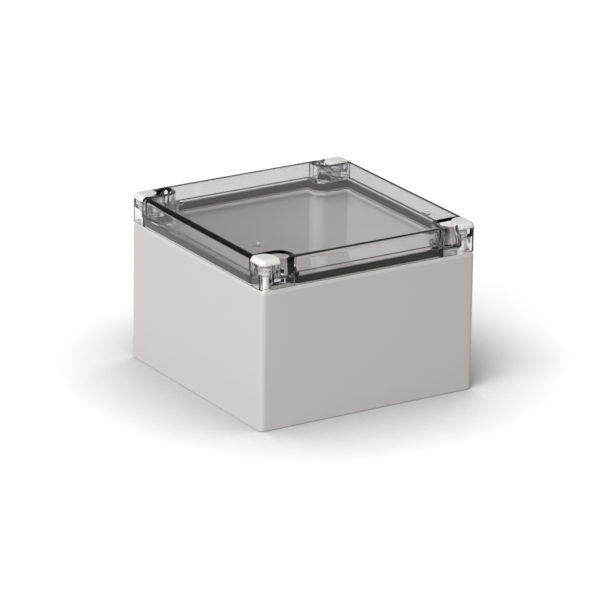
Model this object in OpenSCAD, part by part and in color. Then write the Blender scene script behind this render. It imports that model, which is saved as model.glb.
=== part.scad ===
// Hinged enclosure: a moulded base, a clear cover on two knuckle hinges, a seal that runs
// round the inside of the four corner posts, and a quarter-turn screw under a cap at each corner.
// X runs left to right, Y front to back, Z up. The origin is the middle of the underside.

/* [Body] */
// Outside width, left to right
body_w = 120; // [105:1:200]
// Outside depth, front to back
body_d = 122; // [105:1:200]
// Height of the base up to its rim
base_h = 70; // [45:1:120]
// Height of the cover
cover_h = 14.7; // [13.7:0.1:20]
// Radius of the upright outside corners
corner_r = 3; // [2.8:0.1:3.6]

/* [Base] */
// Thickness of the side walls
base_wall = 2.6; // [2:0.1:3.4]
// Thickness of the floor
floor_t = 3; // [2:0.1:5]
// Width of the rim that carries the cover
rim_t = 4.8; // [4.2:0.1:5.6]
// Height of the rim
rim_h = 1.4; // [1:0.1:4]
// Height of the bevel round the outside of the rim
bevel_h = 1.8; // [1:0.1:2.4]
// How far the bevel cuts in
bevel_in = 0.9; // [0.4:0.1:1.2]
// Chamfer round the underside
foot_chamfer = 0.5; // [0.2:0.1:1]

/* [Seal] */
// Thickness of the cover's skirt outside the seal
skirt_t = 0.95; // [0.8:0.05:1.2]
// Width of the seal
gasket_w = 2.4; // [2:0.1:2.8]
// Height of the seal
gasket_h = 3.7; // [2.8:0.1:3.8]
// Play between the seal and each side of its groove
gasket_play = 0.05; // [0.02:0.01:0.1]
// Play between the seal and the top of its groove
gasket_top_play = 0.1; // [0.05:0.05:0.2]
// Width of the rib that presses into the seal
tongue_w = 1.1; // [0.8:0.1:1.4]
// Height of that rib above the rim
tongue_h = 0.6; // [0.5:0.1:1.1]
// Play between the rib and the seal
tongue_play = 0.2; // [0.1:0.1:0.5]
// Thickness of the cover's lip inside the seal
lip_t = 1.2; // [0.8:0.1:1.6]
// Radius of the seal's path where it turns off a wall
seal_turn_r = 3; // [2:0.1:4]
// Radius of the dry corner's inner edge, before the seal's own offset
dry_r = 2.5; // [1.5:0.1:3.5]

/* [Cover] */
// Gap between the rim and the closed cover
lid_gap = 0.3; // [0.2:0.1:0.5]
// Thickness of the cover's walls
cover_wall = 2.8; // [2.4:0.1:3.2]
// Thickness of the cover's top
cover_top = 2; // [1.6:0.1:3.4]
// Radius of the cover's top edges
cover_edge_r = 2.5; // [1.5:0.1:2.6]
// Wall between a corner well and the inside
well_wall = 1.6; // [1.2:0.1:2.8]
// Thickness of a corner well's floor
well_floor_t = 1.4; // [1.2:0.1:2]
// Radius of a corner well's inner edge
well_r = 5.5; // [4:0.1:6]
// Thickness of the cover's skirt at a dry corner
dry_skirt_t = 1.6; // [1.2:0.1:2.2]
// Distance from the side face to the round pad under the top at each corner
pad_x = 12.4; // [11:0.1:14]
// Distance from the front or back face to that pad
pad_y = 25; // [22:0.5:30]
// Radius of a pad
pad_r = 2.2; // [1.5:0.1:3]
// Height of a pad
pad_h = 0.8; // [0.3:0.1:1]

/* [Corner caps] */
// Size of a cap along X
cap_w = 10; // [9.8:0.1:10.6]
// Size of a cap along Y
cap_d = 10.6; // [9.8:0.1:11]
// Radius of a cap's inner corner
cap_r = 5.5; // [3:0.1:6]
// Thickness of a cap
cap_t = 2.6; // [2.6:0.1:3]
// Gap between a cap's edges and the cover
cap_gap = 0.2; // [0.1:0.05:0.3]
// Gap under a seated cap
cap_seat_gap = 0.1; // [0.05:0.05:0.2]
// Length of the plug under a cap
plug_h = 1.1; // [0.8:0.1:1.2]
// Wall of that plug
plug_wall = 1; // [0.7:0.1:1.4]
// Wall of the block that carries a cap
block_wall = 1.4; // [1.2:0.1:1.6]

/* [Cover screws] */
// Distance of a screw from the side face
screw_x = 5.5; // [5.3:0.1:5.7]
// Distance of a screw from the front or back face
screw_y = 5.5; // [5.3:0.1:5.8]
// Radius of a screw's shank
shank_r = 1.9; // [1.6:0.1:2]
// Clearance round the shank in the cover
shank_clear = 0.2; // [0.1:0.05:0.3]
// Radius of a screw's head
head_r = 3.3; // [2.8:0.1:3.5]
// Height of a screw's head
head_h = 1.7; // [1.4:0.1:1.9]
// Clearance round and under the head
head_clear = 0.3; // [0.2:0.05:0.35]
// Thickness of the cover under the head
head_seat_t = 1.6; // [1.2:0.1:2.4]
// Width of the driver slots
slot_w = 1.1; // [0.8:0.1:1.4]
// Depth of the driver slots
slot_depth = 1; // [0.6:0.1:1.2]
// Reach of the cam at a screw's foot, from the screw's axis
cam_reach = 3.9; // [3.6:0.1:4]
// Width of the cam
cam_w = 3; // [2.4:0.1:3.2]
// Height of the cam
cam_h = 2.4; // [1.8:0.1:3]
// Clearance round the cam and the shank in the base
cam_clear = 0.4; // [0.3:0.05:0.5]
// Thickness of the ledge that a turned cam hooks under
ledge_t = 1.8; // [1.4:0.1:2.4]
// Thickness of a retaining ring
ring_t = 0.8; // [0.5:0.1:1]
// Outer radius of a retaining ring
ring_r = 2.8; // [2.6:0.1:3]
// Depth of the groove that holds the ring
ring_groove = 0.4; // [0.2:0.1:0.6]
// Gap between the ring and the cover
ring_play = 0.4; // [0.2:0.1:0.6]
// Play of the ring in its groove
ring_groove_play = 0.05; // [0.02:0.01:0.1]

/* [Wall mounting] */
// Distance of a mounting hole from the side face
mount_x = 14; // [13.6:0.1:15]
// Distance of a mounting hole from the front or back face
mount_y = 6; // [5.9:0.1:6.6]
// Radius of the hole through the floor
mount_hole_r = 2.15; // [1.6:0.05:2.6]
// Radius of the channel down to that hole
channel_r = 3.3; // [2.9:0.1:3.4]
// Thickness of the floor at the mounting holes
mount_floor_t = 6; // [4:0.5:12]
// Radius of the hole in the cover over the channel
access_r = 3; // [2.6:0.1:3.1]

/* [Posts] */
// Wall beside a channel, along X
post_side = 2.2; // [1.5:0.1:3]
// Wall beside a channel, along Y
post_back = 1.5; // [1.2:0.1:2.4]
// Radius of a post's inner edge
post_r = 5; // [3:0.1:6]
// Wall round the core pocket under a screw
core_wall = 2.2; // [1.8:0.1:2.6]
// Solid material above the core pocket
core_cover = 10; // [8:0.5:20]
// Radius of the core pocket's corners
core_r = 1; // [0.5:0.1:1.5]

/* [Hinges] */
// Distance from a hinge's middle to the side face
hinge_inset = 34; // [30:1:38]
// Distance of the hinge axis behind the back face
hinge_out = 4.2; // [4.1:0.1:5]
// Distance of the hinge axis below the rim
hinge_drop = 1.4; // [1:0.1:1.8]
// Outer radius of the knuckles
knuckle_r = 3.7; // [3:0.1:3.8]
// Radius of a hinge pin
pin_r = 1.5; // [1:0.1:1.8]
// Radial clearance of a pin in the cover's knuckle
pin_clear = 0.06; // [0.04:0.01:0.1]
// Radial clearance of a pin in the base's ears
pin_seat_clear = 0.01; // [0.01:0.01:0.03]
// Width of the cover's knuckle
knuckle_w = 9.4; // [6:0.2:14]
// Width of each ear on the base
ear_w = 5; // [3.5:0.5:7]
// Gap between the knuckle and each ear
knuckle_gap = 0.3; // [0.2:0.1:0.6]
// Skin that closes the outer ear's bore
ear_skin = 1; // [0.8:0.1:2]
// Height of an ear's web below the hinge axis
ear_web = 9; // [7:0.5:14]

/* [Plate bosses] */
// Distance of a boss from the side face
boss_inset_x = 14; // [10:1:16]
// Distance of a boss from the front or back face
boss_inset_y = 19; // [18:1:30]
// Radius of a boss
boss_r = 4; // [3.6:0.1:5]
// Height of a boss above the floor
boss_h = 6; // [5.8:0.2:12]
// Outer radius of a threaded insert
insert_r = 2.6; // [2.2:0.1:3]
// Radius of the hole in an insert
insert_bore_r = 1.65; // [1.2:0.05:1.9]
// Length of an insert
insert_l = 5.4; // [4:0.1:5.6]
// Depth of the waist round an insert
waist_depth = 0.3; // [0.1:0.1:0.5]

/* [Hidden] */
$fn = 64;
eps = 0.01;
past = 1;

// Heights
cover_z = base_h + lid_gap;
body_top = cover_z + cover_h;
rim_z = base_h - rim_h;
gasket_z = base_h + tongue_h + tongue_play;
groove_top = gasket_z + gasket_h + gasket_top_play;
well_z = groove_top + well_floor_t;
cap_z = body_top - cap_t;
seat_z = cap_z - cap_seat_gap;
tall = 2 * body_top;

// Distances of the seal's edges from the outer face
gasket_out = skirt_t + gasket_play;
gasket_in = gasket_out + gasket_w;
groove_in = gasket_in + gasket_play;
lip_in = groove_in + lip_t;
tongue_out = (gasket_out + gasket_in - tongue_w) / 2;
tongue_in = tongue_out + tongue_w;

// Sizes of the dry corners, the posts and the wells, which all enclose the mounting holes
dry_side = 0.4;
dry_back = 0.2;
dry_w = mount_x + access_r + dry_side;
dry_d = mount_y + access_r + dry_back;
post_w = mount_x + channel_r + post_side;
post_d = mount_y + channel_r + post_back;
well_side = 1.5;
well_back = 2.8;
well_w = mount_x + access_r + well_side;
well_d = mount_y + access_r + well_back;

// Cover screws
counterbore_r = head_r + head_clear;
head_top = cap_z - plug_h - cap_seat_gap - head_clear / 3;
head_z = head_top - head_h;
counterbore_z = head_z - head_clear / 3;
shank_bore_r = shank_r + shank_clear;
cam_z = base_h - ledge_t - cam_clear + cam_clear / 4 - cam_h;
screw_foot = cam_z - cam_clear / 4;
chamber_r = cam_reach + cam_clear - eps;
chamber_z = cam_z - cam_clear;
block_top = counterbore_z - head_seat_t;
ring_z = block_top - ring_play - ring_t;
ring_bore_r = shank_r - ring_groove + ring_groove_play;

// Hinges
hinge_y = body_d / 2 + hinge_out;
hinge_z = base_h - hinge_drop;
hinge_x = body_w / 2 - hinge_inset;
knuckle_half = knuckle_w / 2;
ear_in = knuckle_half + knuckle_gap;
ear_out = ear_in + ear_w;
pin_end = ear_out - ear_skin;
// Where a straight web from the back face meets the round of an ear
web_reach = norm([hinge_out, ear_web]);
web_angle = atan2(-ear_web, -hinge_out) + acos(knuckle_r / web_reach);
// How far a rear screw's foot sweeps forward from its axis as the cover swings up
arm_y = screw_y + hinge_out;
sweep = norm([arm_y + shank_r, hinge_z - screw_foot]) - arm_y;

base_grey = [0.8, 0.8, 0.79];
clear_smoke = [0.62, 0.63, 0.65, 0.45];
seal_black = [0.09, 0.09, 0.09];
cap_grey = [0.9, 0.9, 0.89];
screw_grey = [0.74, 0.74, 0.75];
steel = [0.66, 0.67, 0.68];
brass = [0.78, 0.62, 0.3];

// ---- Placing ----

// Puts a shape drawn inward from the front left corner at one corner of the body
module at_corner(right, back) {
    mirror([right, 0, 0]) mirror([0, back, 0])
        translate([-body_w / 2, -body_d / 2, 0]) children();
}

module each_corner() {
    for (right = [0, 1], back = [0, 1]) at_corner(right, back) children();
}

module each_hinge() {
    for (side = [0, 1]) mirror([side, 0, 0]) translate([hinge_x, hinge_y, hinge_z]) children();
}

module each_boss() {
    for (right = [0, 1], back = [0, 1]) at_corner(right, back)
        translate([boss_inset_x, boss_inset_y, 0]) children();
}

// ---- Outlines ----

module rounded(w, d, r) {
    square([w - 2 * r, d], center = true);
    square([w, d - 2 * r], center = true);
    for (x = [-1, 1], y = [-1, 1]) translate([x * (w / 2 - r), y * (d / 2 - r)]) circle(r);
}

// A block at a corner, square outside and round on its inner edge
module corner_block(w, d, r) {
    square([w - r, d]);
    square([w, d - r]);
    translate([w - r, d - r]) circle(r);
}

// The body's outline, moved in by a distance
module plan(inset) {
    rounded(body_w - 2 * inset, body_d - 2 * inset, max(corner_r - inset, 0.4));
}

// The sealed area, moved in by a distance: it leaves a dry block out at each corner
module seal_zone(inset) {
    turn = max(seal_turn_r + skirt_t - inset, 0.4);
    bend = dry_r + inset;
    rounded(body_w - 2 * inset, body_d - 2 * (dry_d + inset), turn);
    rounded(body_w - 2 * (dry_w + inset), body_d - 2 * inset, turn);
    for (right = [0, 1], back = [0, 1]) mirror([right, 0]) mirror([0, back])
        translate([dry_w + inset - body_w / 2, dry_d + inset - body_d / 2])
            mirror([1, 0]) mirror([0, 1]) difference() {
                square(bend);
                translate([bend, bend]) circle(bend);
            }
}

module seal_ring(outer, inner) {
    difference() {
        seal_zone(outer);
        seal_zone(inner);
    }
}

// Runs a profile round the body's outer edge: its x is the distance outward from the face
module round_the_edge() {
    for (side = [0, 1]) rotate([0, 0, 180 * side]) {
        translate([body_w / 2, corner_r - body_d / 2, 0])
            rotate([90, 0, 180]) mirror([1, 0, 0])
                linear_extrude(body_d - 2 * corner_r) children();
        translate([body_w / 2 - corner_r, body_d / 2, 0])
            rotate([90, 0, 270]) mirror([1, 0, 0])
                linear_extrude(body_w - 2 * corner_r) children();
    }
    for (turn = [0 : 3]) {
        half = turn % 2 == 0 ? [body_w / 2, body_d / 2] : [body_d / 2, body_w / 2];
        rotate([0, 0, 90 * turn]) translate([half.x - corner_r, half.y - corner_r, 0])
            rotate_extrude(angle = 90) intersection() {
                translate([corner_r, 0]) children();
                translate([0, -tall]) square(2 * tall);
            }
    }
}

// ---- Base ----

module rim_bevel() {
    polygon([
        [-bevel_in, base_h], [-bevel_in, base_h + past], [past, base_h + past],
        [past, base_h - bevel_h], [0, base_h - bevel_h],
    ]);
}

module foot_bevel() {
    polygon([
        [-foot_chamfer, 0], [-foot_chamfer, -past], [past, -past],
        [past, foot_chamfer], [0, foot_chamfer],
    ]);
}

// The seat of a cover screw: a slot that lets the cam in, over a chamber where it turns
module screw_seat() {
    side = shank_r + cam_clear;
    translate([screw_x, screw_y, 0]) {
        translate([-side, -side, base_h - ledge_t - eps])
            cube([side + chamber_r, side + sweep + cam_clear, ledge_t + tongue_h + past]);
        translate([0, 0, chamber_z]) cylinder(h = base_h - ledge_t - chamber_z, r = chamber_r);
    }
}

module mounting_channel() {
    translate([mount_x, mount_y, 0]) {
        translate([0, 0, mount_floor_t]) cylinder(h = base_h, r = channel_r);
        translate([0, 0, -past]) cylinder(h = base_h, r = mount_hole_r);
    }
}

// A pocket in the underside that keeps the post's walls even
module core_pocket() {
    w = mount_x - channel_r - core_wall / 2 - core_wall;
    d = post_d - 2 * core_wall;
    translate([core_wall + w / 2, core_wall + d / 2, -past])
        linear_extrude(base_h - core_cover + past) rounded(w, d, core_r);
}

module ear(width, skin) {
    rotate([90, 0, 90]) difference() {
        linear_extrude(width) {
            circle(knuckle_r);
            polygon([
                [-hinge_out - eps, -ear_web],
                knuckle_r * [cos(web_angle), sin(web_angle)],
                [0, 0],
                [0, hinge_drop - bevel_h - eps],
                [-hinge_out - eps, hinge_drop - bevel_h - eps],
            ]);
        }
        translate([0, 0, -past]) cylinder(h = width - skin + past, r = pin_r + pin_seat_clear);
    }
}

module hinge_ears() {
    each_hinge() {
        translate([ear_in, 0, 0]) ear(ear_w, ear_skin);
        mirror([1, 0, 0]) translate([ear_in, 0, 0]) ear(ear_w, -past);
    }
}

module base_shell() {
    color(base_grey) difference() {
        union() {
            difference() {
                linear_extrude(base_h) plan(0);
                translate([0, 0, floor_t]) linear_extrude(rim_z - floor_t + eps) difference() {
                    plan(base_wall);
                    each_corner() corner_block(post_w, post_d, post_r);
                }
                translate([0, 0, rim_z]) linear_extrude(rim_h + past) seal_zone(rim_t);
                round_the_edge() rim_bevel();
                round_the_edge() foot_bevel();
            }
            translate([0, 0, base_h - eps]) linear_extrude(tongue_h + eps) seal_ring(tongue_out, tongue_in);
            translate([0, 0, floor_t - eps]) each_boss() cylinder(h = boss_h + eps, r = boss_r);
            hinge_ears();
        }
        each_corner() {
            screw_seat();
            mounting_channel();
            core_pocket();
        }
        each_boss() translate([0, 0, floor_t + boss_h - insert_l])
            cylinder(h = insert_l + past, r = insert_r);
    }
}

// ---- Cover ----

// Cuts the round along one top edge
module top_edge_cut() {
    difference() {
        translate([-cover_edge_r, body_top - cover_edge_r]) square(cover_edge_r + past);
        translate([-cover_edge_r, body_top - cover_edge_r]) circle(cover_edge_r);
    }
}

module cap_plan() {
    intersection() {
        corner_block(cap_w, cap_d, cap_r);
        translate([body_w / 2, body_d / 2]) plan(0);
    }
}

// The dry corners inside the cover's skirt
module dry_corners() {
    difference() {
        plan(dry_skirt_t);
        seal_zone(0);
    }
}

module cover_block() {
    difference() {
        translate([0, 0, cover_z]) linear_extrude(cover_h) plan(0);
        // The inside, above and below the well floors
        translate([0, 0, well_z]) linear_extrude(body_top - cover_top - well_z) difference() {
            plan(cover_wall);
            each_corner() corner_block(well_w + well_wall, well_d + well_wall, well_r + well_wall);
        }
        translate([0, 0, cover_z - past]) linear_extrude(well_z - cover_z + past + eps) seal_zone(lip_in);
        // The seal's groove, the dry corners outside it and the hollows under the caps' blocks
        translate([0, 0, cover_z - past]) linear_extrude(groove_top - cover_z + past)
            seal_ring(skirt_t, groove_in);
        translate([0, 0, cover_z - past]) linear_extrude(groove_top - cover_z + past) dry_corners();
        translate([0, 0, cover_z - past]) linear_extrude(block_top - cover_z + past) intersection() {
            dry_corners();
            each_corner()
                corner_block(cap_w - block_wall, cap_d - block_wall, cap_r - block_wall);
        }
        round_the_edge() top_edge_cut();
    }
}

module corner_well() {
    difference() {
        translate([cover_wall, cover_wall, well_z])
            linear_extrude(cover_h) corner_block(well_w - cover_wall, well_d - cover_wall, well_r);
        translate([0, 0, well_z - past])
            linear_extrude(seat_z - well_z + past) corner_block(cap_w, cap_d, cap_r);
    }
    // The seat of the cap, with the walls cut down to it
    translate([-past, -past, seat_z]) cube([cap_w + cap_gap + past, cap_d + cap_gap + past, cover_h]);
    translate([screw_x, screw_y, 0]) {
        translate([0, 0, counterbore_z]) cylinder(h = cover_h, r = counterbore_r);
        translate([0, 0, cover_z]) cylinder(h = cover_h, r = shank_bore_r);
    }
    translate([mount_x, mount_y, cover_z]) cylinder(h = cover_h, r = access_r);
}

module cover_knuckle() {
    rotate([90, 0, 90]) difference() {
        translate([0, 0, -knuckle_half]) linear_extrude(knuckle_w) {
            circle(knuckle_r);
            translate([-hinge_out - eps, hinge_drop + lid_gap])
                square([hinge_out + eps, knuckle_r - hinge_drop - lid_gap]);
        }
        translate([0, 0, -knuckle_w]) cylinder(h = 2 * knuckle_w, r = pin_r + pin_clear);
    }
}

module cover() {
    color(clear_smoke) union() {
        difference() {
            cover_block();
            each_corner() corner_well();
        }
        each_corner() translate([pad_x, pad_y, body_top - cover_top - pad_h])
            cylinder(h = pad_h + eps, r = pad_r);
        each_hinge() cover_knuckle();
    }
}

module gasket() {
    color(seal_black) translate([0, 0, gasket_z]) linear_extrude(gasket_h) seal_ring(gasket_out, gasket_in);
}

// ---- Corner caps ----

module corner_cap(right, back) {
    color(cap_grey) at_corner(right, back) {
        difference() {
            translate([0, 0, cap_z]) linear_extrude(cap_t) cap_plan();
            translate([body_w / 2, body_d / 2, 0]) round_the_edge() top_edge_cut();
        }
        translate([screw_x, screw_y, cap_z - plug_h]) difference() {
            cylinder(h = plug_h + eps, r = head_r);
            translate([0, 0, -past]) cylinder(h = plug_h + past, r = head_r - plug_wall);
        }
    }
}

// ---- Cover screws ----

module cover_screw(right, back) {
    color(screw_grey) at_corner(right, back) translate([screw_x, screw_y, 0]) difference() {
        union() {
            translate([0, 0, head_z]) cylinder(h = head_h, r = head_r);
            translate([0, 0, screw_foot]) cylinder(h = head_z - screw_foot + eps, r = shank_r);
            translate([0, 0, cam_z]) intersection() {
                cylinder(h = cam_h, r = cam_reach);
                translate([0, -cam_w / 2, 0]) cube([2 * cam_reach, cam_w, cam_h]);
            }
        }
        for (turn = [0, 90]) rotate([0, 0, turn])
            translate([-shank_r, -slot_w / 2, head_top - slot_depth]) cube([2 * shank_r, slot_w, head_h]);
        translate([0, 0, ring_z - ring_groove_play]) difference() {
            cylinder(h = ring_t + 2 * ring_groove_play, r = shank_r + past);
            cylinder(h = ring_t + 2 * ring_groove_play, r = shank_r - ring_groove);
        }
    }
}

module retaining_ring(right, back) {
    mouth = 2 * ring_bore_r * 0.8;
    color(steel) at_corner(right, back) translate([screw_x, screw_y, ring_z]) difference() {
        cylinder(h = ring_t, r = ring_r);
        translate([0, 0, -past]) cylinder(h = ring_t + 2 * past, r = ring_bore_r);
        translate([-mouth / 2, 0, -past]) cube([mouth, ring_r + past, ring_t + 2 * past]);
    }
}

// ---- Hinge pins and plate inserts ----

module hinge_pin(right) {
    color(steel) mirror([1 - right, 0, 0]) translate([hinge_x, hinge_y, hinge_z])
        rotate([0, 90, 0]) translate([0, 0, -ear_out]) cylinder(h = ear_out + pin_end, r = pin_r);
}

module plate_insert(right, back) {
    color(brass) at_corner(right, back)
        translate([boss_inset_x, boss_inset_y, floor_t + boss_h - insert_l]) difference() {
            cylinder(h = insert_l, r = insert_r);
            translate([0, 0, -past]) cylinder(h = insert_l + 2 * past, r = insert_bore_r);
            translate([0, 0, insert_l / 3]) difference() {
                cylinder(h = insert_l / 3, r = insert_r + past);
                cylinder(h = insert_l / 3, r = insert_r - waist_depth);
            }
        }
}

base_shell();
cover();
gasket();
corner_cap(0, 0);  // corner_cap_front_left
corner_cap(1, 0);  // corner_cap_front_right
corner_cap(0, 1);  // corner_cap_back_left
corner_cap(1, 1);  // corner_cap_back_right
cover_screw(0, 0);  // cover_screw_front_left
cover_screw(1, 0);  // cover_screw_front_right
cover_screw(0, 1);  // cover_screw_back_left
cover_screw(1, 1);  // cover_screw_back_right
retaining_ring(0, 0);  // retaining_ring_front_left
retaining_ring(1, 0);  // retaining_ring_front_right
retaining_ring(0, 1);  // retaining_ring_back_left
retaining_ring(1, 1);  // retaining_ring_back_right
hinge_pin(0);  // hinge_pin_left
hinge_pin(1);  // hinge_pin_right
plate_insert(0, 0);  // plate_insert_front_left
plate_insert(1, 0);  // plate_insert_front_right
plate_insert(0, 1);  // plate_insert_back_left
plate_insert(1, 1);  // plate_insert_back_right
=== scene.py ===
"""Looks of a hinged enclosure: a light grey moulded base, a smoke-tinted clear cover, its seal and its fittings."""
import math

import bmesh
import bpy
from bpy.props import FloatProperty, FloatVectorProperty, PointerProperty
from mathutils import Matrix, Vector


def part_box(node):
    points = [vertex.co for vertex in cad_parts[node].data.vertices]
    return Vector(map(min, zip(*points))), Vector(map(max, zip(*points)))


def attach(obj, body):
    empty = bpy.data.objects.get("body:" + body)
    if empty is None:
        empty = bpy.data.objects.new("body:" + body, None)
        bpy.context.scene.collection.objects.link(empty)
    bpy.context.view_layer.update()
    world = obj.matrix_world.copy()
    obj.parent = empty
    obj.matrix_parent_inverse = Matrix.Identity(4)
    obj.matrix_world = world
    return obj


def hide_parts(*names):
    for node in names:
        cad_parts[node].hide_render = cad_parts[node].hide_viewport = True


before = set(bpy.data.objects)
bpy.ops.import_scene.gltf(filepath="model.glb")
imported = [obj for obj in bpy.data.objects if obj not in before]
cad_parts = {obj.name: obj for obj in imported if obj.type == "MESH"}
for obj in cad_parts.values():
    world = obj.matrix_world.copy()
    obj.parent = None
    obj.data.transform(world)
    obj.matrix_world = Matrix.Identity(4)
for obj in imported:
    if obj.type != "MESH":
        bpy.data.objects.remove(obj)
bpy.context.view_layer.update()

bl_info = {
    "name": "Hinged enclosure",
    "version": (1, 0, 0),
    "blender": (4, 5, 0),
    "location": "View3D > Sidebar > Enclosure",
    "description": "Finishes the pieces of a hinged enclosure with a clear cover",
    "category": "Object",
}

MM = 0.001
CORNERS = ("front_left", "front_right", "back_left", "back_right")
BASE_LOW, BASE_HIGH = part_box("base_shell")


# ---- Shader expressions ----

class Wire:
    """A socket in a material's tree. An expression on it adds Math nodes."""

    def __init__(self, tree, socket=None):
        self.tree = tree
        self.socket = socket

    def add(self, kind, settings, values, out=0):
        """Adds a node: its settings first, then the values or links of its sockets."""
        node = self.tree.nodes.new(kind)
        for name, value in settings.items():
            if name == "stops":
                ramp = node.color_ramp
                while len(ramp.elements) < len(value):
                    ramp.elements.new(0.5)
                for element, (place, shade) in zip(ramp.elements, value):
                    element.position = place
                    element.color = (shade, shade, shade, 1)
            else:
                setattr(node, name, value)
        for name, value in values.items():
            if isinstance(value, Wire):
                self.tree.links.new(value.socket, node.inputs[name])
            else:
                node.inputs[name].default_value = value
        return Wire(self.tree, node.outputs[out])

    def _math(self, operation, a, b):
        return self.add("ShaderNodeMath", {"operation": operation}, {0: a, 1: b})

    def __add__(self, other):
        return self._math("ADD", self, other)

    __radd__ = __add__

    def __sub__(self, other):
        return self._math("SUBTRACT", self, other)

    def __rsub__(self, other):
        return self._math("SUBTRACT", other, self)

    def __mul__(self, other):
        return self._math("MULTIPLY", self, other)

    __rmul__ = __mul__


def object_space(wire):
    return wire.add("ShaderNodeTexCoord", {}, {}, "Object")


def noise(wire, scale, detail=2.0):
    """Noise between 0 and 1 whose patches are about 1 / scale metres across."""
    return wire.add("ShaderNodeTexNoise", {}, {"Vector": object_space(wire), "Scale": scale, "Detail": detail},
                    "Fac")


def new_material(name):
    """A material with nothing in it but its output, and a Wire on its tree."""
    material = bpy.data.materials.new(name)
    material.use_nodes = True
    material.node_tree.nodes.clear()
    return material, Wire(material.node_tree)


def finish_material(wire, surface, volume=None):
    out = {"Surface": surface}
    if volume is not None:
        out["Volume"] = volume
    node = wire.tree.nodes.new("ShaderNodeOutputMaterial")
    for name, value in out.items():
        wire.tree.links.new(value.socket, node.inputs[name])


def shaded(wire, colour, amount, scale):
    """A colour that drifts lighter and darker by amount, in patches of about 1 / scale metres."""
    light = tuple(min(1, c * (1 + amount)) for c in colour) + (1,)
    dark = tuple(c * (1 - amount) for c in colour) + (1,)
    return wire.add("ShaderNodeMix", {"data_type": "RGBA"}, {0: noise(wire, scale), 6: dark, 7: light}, 2)


def grained(wire, depth, scale, strength=1.0):
    """A bump of fine moulded grain."""
    return wire.add("ShaderNodeBump", {}, {
        "Height": noise(wire, scale, 3.0), "Distance": depth, "Strength": strength}, "Normal")


def moulded_plastic(name, colour, roughness, grain=1800, depth=0.00002, drift=0.012):
    """Opaque moulded plastic with a fine spark-eroded grain."""
    material, wire = new_material(name)
    fine = noise(wire, grain * 0.6)
    finish_material(wire, wire.add("ShaderNodeBsdfPrincipled", {}, {
        "Base Color": shaded(wire, colour, drift, 22),
        "Roughness": fine * 0.12 + (roughness - 0.06),
        "IOR": 1.55,
        "Normal": grained(wire, depth, grain),
    }))
    return material


def clear_plastic(name, tint, roughness):
    """Clear plastic: lamps shine through it, and its thickness tints it."""
    material, wire = new_material(name)
    glass = wire.add("ShaderNodeBsdfPrincipled", {}, {
        "Base Color": (1, 1, 1, 1),
        "Roughness": noise(wire, 900) * roughness,
        "IOR": 1.58,
        "Specular Tint": (0.2, 0.2, 0.2, 1),
        "Transmission Weight": 1.0,
    })
    open_way = wire.add("ShaderNodeBsdfTransparent", {}, {"Color": (0.97, 0.97, 0.97, 1)})
    shadow_ray = wire.add("ShaderNodeLightPath", {}, {}, "Is Shadow Ray")
    surface = wire.add("ShaderNodeMixShader", {}, {0: shadow_ray, 1: glass, 2: open_way})
    volume = wire.add("ShaderNodeVolumeAbsorption", {}, {"Color": tuple(tint) + (1,), "Density": 1.0 / (2.8 * MM)})
    finish_material(wire, surface, volume)
    return material


def rubber(name, colour):
    material, wire = new_material(name)
    finish_material(wire, wire.add("ShaderNodeBsdfPrincipled", {}, {
        "Base Color": shaded(wire, colour, 0.25, 300),
        "Roughness": noise(wire, 500) * 0.2 + 0.5,
        "IOR": 1.5,
        "Specular IOR Level": 0.1,
        "Normal": grained(wire, 0.00003, 2500),
    }))
    return material


def metal(name, colour, roughness, scratch_scale):
    material, wire = new_material(name)
    finish_material(wire, wire.add("ShaderNodeBsdfPrincipled", {}, {
        "Base Color": shaded(wire, colour, 0.08, 400),
        "Metallic": 1.0,
        "Roughness": noise(wire, scratch_scale) * 0.2 + roughness,
        "Normal": grained(wire, 0.000008, scratch_scale),
    }))
    return material


# ---- Sizes and colours that a user would change ----

class EnclosureFinish(bpy.types.PropertyGroup):
    """Colours and finishes of the enclosure's pieces."""

    base_colour: FloatVectorProperty(
        name="Base", description="Colour of the moulded base", subtype="COLOR", size=3, min=0, max=1,
        default=(0.63, 0.62, 0.61))
    base_roughness: FloatProperty(
        name="Base roughness", description="Roughness of the moulded base", default=0.45, min=0.1, max=1)
    smoke_tint: FloatVectorProperty(
        name="Smoke tint", description="What the cover's plastic lets through over a few millimetres",
        subtype="COLOR", size=3, min=0, max=1, default=(0.86, 0.85, 0.86))
    cap_colour: FloatVectorProperty(
        name="Caps", description="Colour of the corner caps", subtype="COLOR", size=3, min=0, max=1,
        default=(0.86, 0.86, 0.85))
    screw_colour: FloatVectorProperty(
        name="Screws", description="Colour of the cover screws", subtype="COLOR", size=3, min=0, max=1,
        default=(0.72, 0.72, 0.73))
    seal_colour: FloatVectorProperty(
        name="Seal", description="Colour of the seal", subtype="COLOR", size=3, min=0, max=1,
        default=(0.009, 0.008, 0.008))
    insert_bore: FloatProperty(
        name="Insert bore", description="Radius inside the thread of a plate insert", subtype="DISTANCE",
        unit="LENGTH", default=1.65 * MM, min=1 * MM, max=1.9 * MM)
    thread_depth: FloatProperty(
        name="Thread depth", description="Depth of the thread of a plate insert", subtype="DISTANCE",
        unit="LENGTH", default=0.35 * MM, min=0.1 * MM, max=0.5 * MM)
    edge_radius: FloatProperty(
        name="Edge radius", description="Radius that the mould leaves on edges", subtype="DISTANCE",
        unit="LENGTH", default=0.2 * MM, min=0.05 * MM, max=0.5 * MM)


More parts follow.
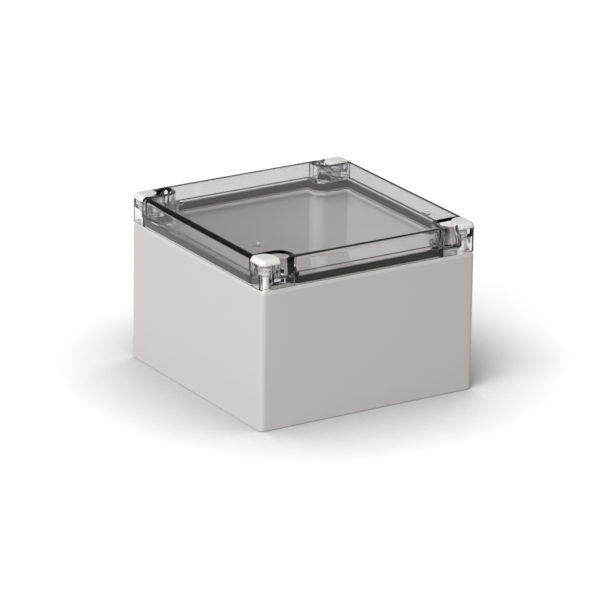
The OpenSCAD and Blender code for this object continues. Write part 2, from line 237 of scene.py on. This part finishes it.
class EnclosureStage(bpy.types.PropertyGroup):
    """The floor, the lamps and the camera."""

    turn: FloatProperty(
        name="Turn", description="Angle of the camera round the enclosure", subtype="ANGLE",
        default=math.radians(-32.02))
    rise: FloatProperty(
        name="Rise", description="Angle of the camera above the floor", subtype="ANGLE",
        default=math.radians(19.37))
    roll: FloatProperty(
        name="Roll", description="Tilt of the camera about its own axis", subtype="ANGLE",
        default=math.radians(0.76))
    distance: FloatProperty(
        name="Distance", description="Distance of the camera from the point it looks at", subtype="DISTANCE",
        unit="LENGTH", default=2.202)
    aim: FloatVectorProperty(
        name="Aim", description="Point that the camera looks at", subtype="XYZ", unit="LENGTH", size=3,
        default=(-0.0338, -0.0528, 0.0593))
    lens: FloatProperty(
        name="Lens", description="Focal length on a 36 mm wide sensor, in millimetres", default=280.6)
    key_lamp: FloatProperty(
        name="Key lamp", description="Power of the large lamp at the front left, in watts", default=156.0, min=0)
    key_size: FloatProperty(
        name="Key size", description="Width of that lamp", subtype="DISTANCE", unit="LENGTH", default=3.6, min=0)
    key_turn: FloatProperty(
        name="Key turn", description="Angle of that lamp forward of the left side", subtype="ANGLE",
        default=math.radians(26))
    key_rise: FloatProperty(
        name="Key rise", description="Angle of that lamp above the floor", subtype="ANGLE",
        default=math.radians(40))
    sky: FloatProperty(
        name="Sky", description="Strength of the light from all round", default=0.31, min=0)


# ---- Helpers ----

def rest_on(piece, body, slot_name, *nodes):
    """Hands a finished piece to the frame: it rides on a body and stands for CAD nodes."""
    if nodes:
        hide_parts(*nodes)
    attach(piece, body)


def dress(node, material):
    """Gives a CAD node that keeps its own mesh a material."""
    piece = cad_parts[node]
    piece.data.materials.clear()
    piece.data.materials.append(material)
    return piece


def softened(node, name, radius, material, angle=30, segments=2):
    """A copy of a CAD node with its triangles merged and its edges rounded as a mould leaves them."""
    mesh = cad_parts[node].data.copy()
    mesh.name = name
    work = bmesh.new()
    work.from_mesh(mesh)
    bmesh.ops.remove_doubles(work, verts=work.verts, dist=1e-6)
    bmesh.ops.dissolve_limit(
        work, angle_limit=math.radians(0.5), verts=work.verts, edges=work.edges, delimit=set())
    work.to_mesh(mesh)
    work.free()
    mesh.materials.clear()
    mesh.materials.append(material)
    piece = bpy.data.objects.new(name, mesh)
    bpy.context.scene.collection.objects.link(piece)
    mesh.shade_smooth()
    mesh.set_sharp_from_angle(angle=math.radians(angle))
    if radius:
        bevel = piece.modifiers.new("mould radius", "BEVEL")
        bevel.width = radius
        bevel.segments = segments
        bevel.limit_method = "ANGLE"
        bevel.angle_limit = math.radians(angle)
        bevel.use_clamp_overlap = True
        bevel.harden_normals = True
    return piece


# ---- Threaded inserts ----

def insert_tree(material, sizes):
    """Nodes that stand a knurled, threaded insert on every point of a mesh."""
    tree = bpy.data.node_groups.new("threaded_insert", "GeometryNodeTree")
    tree.interface.new_socket("Feet", in_out="INPUT", socket_type="NodeSocketGeometry")
    for name, value in sizes.items():
        kind = "NodeSocketInt" if isinstance(value, int) else "NodeSocketFloat"
        tree.interface.new_socket(name, in_out="INPUT", socket_type=kind)
    tree.interface.new_socket("Inserts", in_out="OUTPUT", socket_type="NodeSocketGeometry")
    wire = Wire(tree)
    entry = tree.nodes.new("NodeGroupInput")
    given = {socket.name: Wire(tree, socket) for socket in entry.outputs if socket.name}
    radius, bore, length = given["Radius"], given["Bore"], given["Length"]

    def moved(part, **shift):
        offset = wire.add("ShaderNodeCombineXYZ", {}, shift)
        return wire.add("GeometryNodeTransform", {}, {"Geometry": part, "Translation": offset})

    # The sleeve: a ring whose section is a rectangle
    wall = radius - given["Tooth"] * 0.5 - bore - given["Thread"] * 0.5
    path = wire.add("GeometryNodeCurvePrimitiveCircle", {}, {
        "Resolution": 48, "Radius": bore + given["Thread"] * 0.5 + wall * 0.5})
    section = wire.add("GeometryNodeCurvePrimitiveQuadrilateral", {}, {"Width": wall, "Height": length})
    sleeve = wire.add("GeometryNodeCurveToMesh", {}, {"Curve": path, "Profile Curve": section})
    # The thread: a ridge wound round the bore
    winding = wire.add("GeometryNodeCurveSpiral", {}, {
        "Resolution": 32, "Rotations": given["Turns"], "Start Radius": bore + given["Thread"] * 0.5,
        "End Radius": bore + given["Thread"] * 0.5, "Height": length - given["Thread"]})
    ridge = wire.add("GeometryNodeCurvePrimitiveCircle", {}, {"Resolution": 4, "Radius": given["Thread"] * 0.5})
    thread = wire.add("GeometryNodeCurveToMesh", {}, {
        "Curve": winding, "Profile Curve": ridge, "Fill Caps": True})
    # The knurl: two bands of teeth round the sleeve
    ring = wire.add("GeometryNodeMeshCircle", {}, {
        "Vertices": given["Teeth"], "Radius": radius - given["Tooth"] * 0.75})
    size = wire.add("ShaderNodeCombineXYZ", {}, {"X": given["Tooth"], "Y": given["Tooth"], "Z": length * 0.33})
    tooth = wire.add("GeometryNodeMeshCube", {}, {"Size": size})
    edge_out = wire.add("GeometryNodeTransform", {}, {
        "Geometry": tooth, "Rotation": (0.0, 0.0, math.radians(45))})
    outward = wire.add("FunctionNodeAlignRotationToVector", {"axis": "X"}, {
        "Vector": wire.add("GeometryNodeInputPosition", {}, {})})
    band = wire.add("GeometryNodeInstanceOnPoints", {}, {
        "Points": ring, "Instance": edge_out, "Rotation": outward})
    joined = tree.nodes.new("GeometryNodeJoinGeometry")
    for part in (
        moved(sleeve, Z=length * 0.5),
        moved(thread, Z=given["Thread"] * 0.5),
        moved(band, Z=length * 0.18),
        moved(band, Z=length * 0.82),
    ):
        tree.links.new(part.socket, joined.inputs[0])
    stood = wire.add("GeometryNodeInstanceOnPoints", {}, {
        "Points": given["Feet"], "Instance": Wire(tree, joined.outputs[0])})
    solid = wire.add("GeometryNodeRealizeInstances", {}, {"Geometry": stood})
    finished = wire.add("GeometryNodeSetMaterial", {}, {"Geometry": solid, "Material": material})
    leave = tree.nodes.new("NodeGroupOutput")
    tree.links.new(finished.socket, leave.inputs[0])
    return tree


def built_by_nodes(name, points, tree, sizes):
    """A plain mesh of what a node tree makes on some points."""
    mesh = bpy.data.meshes.new(name)
    mesh.from_pydata([tuple(point) for point in points], [], [])
    maker = bpy.data.objects.new(f"{name}_maker", mesh)
    bpy.context.scene.collection.objects.link(maker)
    modifier = maker.modifiers.new("nodes", "NODES")
    modifier.node_group = tree
    for item in tree.interface.items_tree:
        if item.in_out == "INPUT" and item.name in sizes:
            modifier[item.identifier] = sizes[item.name]
    depsgraph = bpy.context.evaluated_depsgraph_get()
    made = bpy.data.meshes.new_from_object(maker.evaluated_get(depsgraph), depsgraph=depsgraph)
    maker.modifiers.remove(modifier)
    bpy.data.objects.remove(maker)
    piece = bpy.data.objects.new(name, made)
    bpy.context.scene.collection.objects.link(piece)
    made.shade_smooth()
    made.set_sharp_from_angle(angle=math.radians(30))
    return piece


# ---- Pieces ----

class ENCLOSURE_OT_base(bpy.types.Operator):
    """Finish the moulded base"""

    bl_idname = "enclosure.base"
    bl_label = "Base"

    def execute(self, context):
        finish = context.scene.enclosure_finish
        plastic = moulded_plastic("light_grey_plastic", finish.base_colour, finish.base_roughness)
        piece = softened("base_shell", "base_moulding", 0, plastic, angle=20)
        rest_on(piece, "base", "base_grey", "base_shell")
        return {"FINISHED"}


class ENCLOSURE_OT_cover(bpy.types.Operator):
    """Finish the clear cover"""

    bl_idname = "enclosure.cover"
    bl_label = "Cover"

    def execute(self, context):
        finish = context.scene.enclosure_finish
        plastic = clear_plastic("smoke_clear_plastic", finish.smoke_tint, 0.01)
        piece = softened("cover", "cover_moulding", 0, plastic)
        rest_on(piece, "cover", "clear_smoke", "cover")
        return {"FINISHED"}


class ENCLOSURE_OT_seal(bpy.types.Operator):
    """Finish the seal"""

    bl_idname = "enclosure.seal"
    bl_label = "Seal"

    def execute(self, context):
        finish = context.scene.enclosure_finish
        black = rubber("black_rubber", finish.seal_colour)
        rest_on(softened("gasket", "seal", finish.edge_radius, black), "cover", "seal_black", "gasket")
        return {"FINISHED"}


class ENCLOSURE_OT_caps(bpy.types.Operator):
    """Finish the corner caps"""

    bl_idname = "enclosure.caps"
    bl_label = "Corner caps"

    def execute(self, context):
        finish = context.scene.enclosure_finish
        plastic = moulded_plastic("cap_plastic", finish.cap_colour, 0.4)
        for corner in CORNERS:
            piece = softened(f"corner_cap_{corner}", f"cap_{corner}", finish.edge_radius, plastic)
            rest_on(piece, f"cap_{corner}", "cap_grey", f"corner_cap_{corner}")
        return {"FINISHED"}


class ENCLOSURE_OT_fittings(bpy.types.Operator):
    """Finish the screws, their rings, the hinge pins and the plate inserts"""

    bl_idname = "enclosure.fittings"
    bl_label = "Fittings"

    def execute(self, context):
        finish = context.scene.enclosure_finish
        nylon = moulded_plastic("screw_plastic", finish.screw_colour, 0.38)
        spring = metal("spring_steel", (0.5, 0.51, 0.53), 0.25, 900)
        pin = metal("pin_steel", (0.6, 0.6, 0.61), 0.2, 1500)
        brass = metal("insert_brass", (0.72, 0.5, 0.2), 0.22, 1200)
        for corner in CORNERS:
            screw = softened(f"cover_screw_{corner}", f"screw_{corner}", finish.edge_radius / 2, nylon)
            rest_on(screw, f"screw_{corner}", "screw_grey", f"cover_screw_{corner}")
            dress(f"retaining_ring_{corner}", spring)
        for side in ("left", "right"):
            rest_on(softened(f"hinge_pin_{side}", f"pin_{side}", finish.edge_radius, pin),
                    "base", "steel_pin", f"hinge_pin_{side}")
        nodes = [f"plate_insert_{corner}" for corner in CORNERS]
        boxes = [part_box(node) for node in nodes]
        low, high = boxes[0]
        sizes = {
            "Radius": (high[0] - low[0]) / 2,
            "Length": high[2] - low[2],
            "Bore": finish.insert_bore,
            "Thread": finish.thread_depth,
            "Turns": 7.0,
            "Tooth": 0.34 * MM,
            "Teeth": 26,
        }
        feet = [((a[0] + b[0]) / 2, (a[1] + b[1]) / 2, a[2]) for a, b in boxes]
        inserts = built_by_nodes("plate_inserts", feet, insert_tree(brass, sizes), sizes)
        rest_on(inserts, "base", "brass", *nodes)
        return {"FINISHED"}


class ENCLOSURE_OT_stage(bpy.types.Operator):
    """Set the floor, the lamps and the camera"""

    bl_idname = "enclosure.stage"
    bl_label = "Stage"

    def execute(self, context):
        stage = context.scene.enclosure_stage
        make_floor()
        make_world(context.scene, stage.sky)
        key = Vector((
            -math.cos(stage.key_turn) * math.cos(stage.key_rise),
            -math.sin(stage.key_turn) * math.cos(stage.key_rise),
            math.sin(stage.key_rise),
        ))
        make_lamp("key_lamp", key * 4, (0, 0, 0.04), stage.key_size, stage.key_lamp)
        make_camera(context.scene, stage)
        context.scene.view_settings.view_transform = "Standard"
        return {"FINISHED"}


def make_floor():
    """A pale floor that looks white away from the enclosure, with a painted contact shadow round its foot."""
    bpy.ops.mesh.primitive_plane_add(size=12)
    floor = bpy.context.object
    floor.name = "floor"
    material, wire = new_material("pale_floor")
    matt = wire.add("ShaderNodeBsdfDiffuse", {}, {"Color": (0.6, 0.6, 0.6, 1)})
    # Painted contact shadow: ambient occlusion fades the floor's camera-only glow near the enclosure, so the floor
    # darkens round its foot on top of the shadow the lamps cast.
    open_air = wire.add("ShaderNodeAmbientOcclusion", {"samples": 8}, {"Distance": 0.08}, "AO")
    painted_shade_fade = wire.add("ShaderNodeClamp", {}, {"Value": open_air * 2.3 - 1.3})
    glow = wire.add("ShaderNodeEmission", {}, {"Color": (1, 1, 1, 1), "Strength": 0.6})
    dark = wire.add("ShaderNodeEmission", {}, {"Color": (0, 0, 0, 1), "Strength": 0.0})
    extra = wire.add("ShaderNodeMixShader", {}, {0: looked_at(wire) * painted_shade_fade, 1: dark, 2: glow})
    finish_material(wire, wire.add("ShaderNodeAddShader", {}, {0: matt, 1: extra}))
    floor.data.materials.append(material)


def looked_at(wire):
    """1 where the camera sees a thing, straight on, in a gloss or through clear plastic."""
    seen = sum(wire.add("ShaderNodeLightPath", {}, {}, f"Is {kind} Ray")
               for kind in ("Camera", "Glossy", "Transmission"))
    return wire.add("ShaderNodeClamp", {}, {"Value": seen})


def make_world(scene, strength):
    """Plain light from all round."""
    world = bpy.data.worlds.new("studio")
    scene.world = world
    world.use_nodes = True
    world.node_tree.nodes.clear()
    wire = Wire(world.node_tree)
    soft = wire.add("ShaderNodeBackground", {}, {"Color": (1, 1, 1, 1), "Strength": strength})
    out = world.node_tree.nodes.new("ShaderNodeOutputWorld")
    world.node_tree.links.new(soft.socket, out.inputs["Surface"])


def make_lamp(name, place, target, size, power):
    """A square soft lamp at a place, turned to a target."""
    light = bpy.data.lights.new(name, "AREA")
    light.shape = "SQUARE"
    light.size = size
    light.energy = power
    lamp = bpy.data.objects.new(name, light)
    bpy.context.scene.collection.objects.link(lamp)
    lamp.location = place
    lamp.rotation_euler = (Vector(target) - Vector(place)).to_track_quat("-Z", "Y").to_euler()


def make_camera(scene, stage):
    """A long lens, turned, raised and rolled about the point that it looks at."""
    back = Vector((
        math.sin(stage.turn) * math.cos(stage.rise),
        -math.cos(stage.turn) * math.cos(stage.rise),
        math.sin(stage.rise),
    ))
    right = Vector((math.cos(stage.turn), math.sin(stage.turn), 0))
    axes = Matrix((right, back.cross(right), back)).transposed()
    lens = bpy.data.cameras.new("camera")
    lens.lens = stage.lens
    lens.sensor_width = 36
    lens.clip_end = 20
    camera = bpy.data.objects.new("camera", lens)
    scene.collection.objects.link(camera)
    turn = axes @ Matrix.Rotation(-stage.roll, 3, "Z").inverted()
    camera.matrix_world = Matrix.Translation(Vector(stage.aim) + back * stage.distance) @ turn.to_4x4()
    scene.camera = camera


class ENCLOSURE_PT_panel(bpy.types.Panel):
    """Lists the pieces and their finishes"""

    bl_idname = "ENCLOSURE_PT_panel"
    bl_label = "Enclosure"
    bl_space_type = "VIEW_3D"
    bl_region_type = "UI"
    bl_category = "Enclosure"

    def draw(self, context):
        for group in (context.scene.enclosure_finish, context.scene.enclosure_stage):
            for name in group.__annotations__:
                self.layout.prop(group, name)
        for operator in OPERATORS:
            self.layout.operator(operator.bl_idname)


OPERATORS = (
    ENCLOSURE_OT_base,
    ENCLOSURE_OT_cover,
    ENCLOSURE_OT_seal,
    ENCLOSURE_OT_caps,
    ENCLOSURE_OT_fittings,
    ENCLOSURE_OT_stage,
)
CLASSES = (EnclosureFinish, EnclosureStage, *OPERATORS, ENCLOSURE_PT_panel)


def register():
    for cls in CLASSES:
        bpy.utils.register_class(cls)
    bpy.types.Scene.enclosure_finish = PointerProperty(type=EnclosureFinish)
    bpy.types.Scene.enclosure_stage = PointerProperty(type=EnclosureStage)


def unregister():
    del bpy.types.Scene.enclosure_stage
    del bpy.types.Scene.enclosure_finish
    for cls in reversed(CLASSES):
        bpy.utils.unregister_class(cls)


def main():
    register()
    for operator in OPERATORS:
        group, name = operator.bl_idname.split(".")
        getattr(getattr(bpy.ops, group), name)()


if __name__ == "__main__":
    main()
